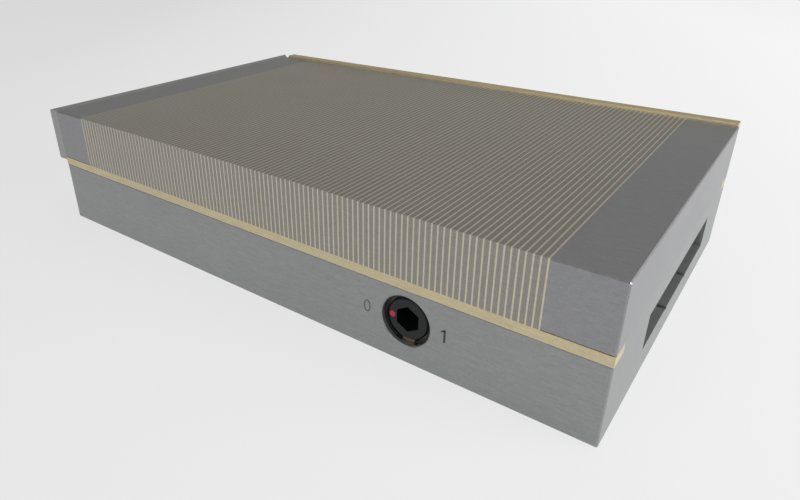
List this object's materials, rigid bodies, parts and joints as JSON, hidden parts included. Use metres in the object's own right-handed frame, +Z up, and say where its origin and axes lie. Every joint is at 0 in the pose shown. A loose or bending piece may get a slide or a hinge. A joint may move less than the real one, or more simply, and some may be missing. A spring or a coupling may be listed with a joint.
{
  "type": "magnetic chuck",
  "caption": "Flat rectangular permanent magnetic chuck: laminated pole plate on a steel base, key-turned shaft that slides the magnet pack, and adjustable end and rear stops.",
  "frame": {"origin": "centre of the bottom face, on the surface that it stands on", "axes": "+X along the chuck towards the plain end, +Y towards the rear stop rail, so the key socket faces -Y, and +Z up through the pole face"},
  "size_m": [0.2604, 0.1604, 0.053],
  "materials": {
    "housing_steel": "fine ground",
    "pole_steel": "fine ground",
    "pole_brass": "fine ground, dull",
    "spacer_brass": "brushed, dull",
    "rail_brass": "brushed, dull",
    "stop_steel": "fine ground",
    "screw_steel": "black oxide",
    "shaft_steel": "black oxide",
    "clip_steel": "phosphated spring steel",
    "bush_bronze": "sintered bronze",
    "slide_bronze": "machined bronze",
    "pin_steel": "hardened and ground",
    "dot_enamel": "red enamel",
    "frame_aluminium": "milled",
    "magnet": "ground sintered magnet",
    "pole_bar_steel": "milled",
    "yoke_steel": "hardened"
  },
  "bodies": {
    "chuck_body": {"housing": "housing_steel", "front_spacer_bar": "spacer_brass", "rear_spacer_bar": "spacer_brass", "left_end_block": "pole_steel", "right_end_block": "pole_steel", "steel_pole_strips": "pole_steel", "brass_gap_strips": "pole_brass", "pole_plate_screws": "screw_steel", "front_bush": "bush_bronze", "rear_bush": "bush_bronze", "bush_circlip": "clip_steel", "stop_pin": "pin_steel", "slide_strips": "slide_bronze", "left_stop_screws": "screw_steel", "rear_rail_screws": "screw_steel"},
    "actuator": {"actuating_shaft": "shaft_steel", "index_dot": "dot_enamel", "eccentric_sleeves": "yoke_steel"},
    "magnet_pack": {"pack_frame": "frame_aluminium", "drive_yokes": "yoke_steel", "pack_magnets": "magnet", "pack_pole_bars": "pole_bar_steel"},
    "left_stop": {"left_stop_plate": "stop_steel"},
    "rear_rail": {"rear_stop_rail": "rail_brass"}
  },
  "joints": [
    {"name": "shaft_turn", "type": "hinge", "parent": "chuck_body", "child": "actuator", "pos_m": [0.063, 0, 0.0156], "axis": [0, 1, 0], "range_deg": [0, 180]},
    {"name": "pack_slide", "type": "slide", "parent": "chuck_body", "child": "magnet_pack", "axis": [1, 0, 0], "range_m": [0, 0.006]},
    {"name": "left_stop_slide", "type": "slide", "parent": "chuck_body", "child": "left_stop", "axis": [0, 0, 1], "range_m": [0, 0.005]},
    {"name": "rear_rail_slide", "type": "slide", "parent": "chuck_body", "child": "rear_rail", "axis": [0, 0, 1], "range_m": [-0.001, 0.004]}
  ],
  "couplings": [
    {"joint": "shaft_turn", "follows": "pack_slide", "rad_per_m": 523.6}
  ]
}
